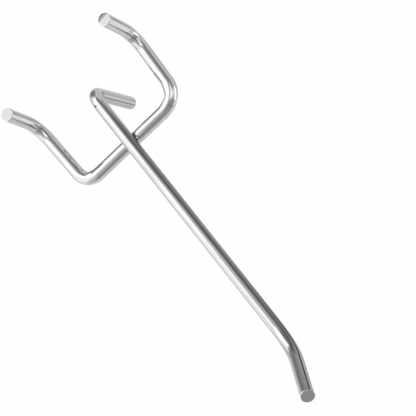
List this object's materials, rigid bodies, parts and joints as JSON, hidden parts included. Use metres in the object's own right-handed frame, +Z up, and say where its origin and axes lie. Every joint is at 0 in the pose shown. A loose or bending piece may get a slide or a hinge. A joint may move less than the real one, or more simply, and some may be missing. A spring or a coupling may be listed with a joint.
{
  "type": "pegboard hook",
  "caption": "Long pegboard hook of bent round steel wire: a U-shaped yoke with two upturned pegs, welded under a straight arm with a brace leg and an upturned tip.",
  "frame": {"origin": "on the board's front face, midway between the pegs, at the height where the legs enter the board", "axes": "+X along the board towards the right peg, +Y into the board, +Z up the board; the arm points to -Y"},
  "size_m": [0.0558, 0.1579, 0.0702],
  "materials": {
    "arm_plating": "bright zinc plated",
    "yoke_plating": "bright zinc plated"
  },
  "bodies": {
    "root": {"arm_wire": "arm_plating", "yoke_wire": "yoke_plating"}
  },
  "joints": []
}
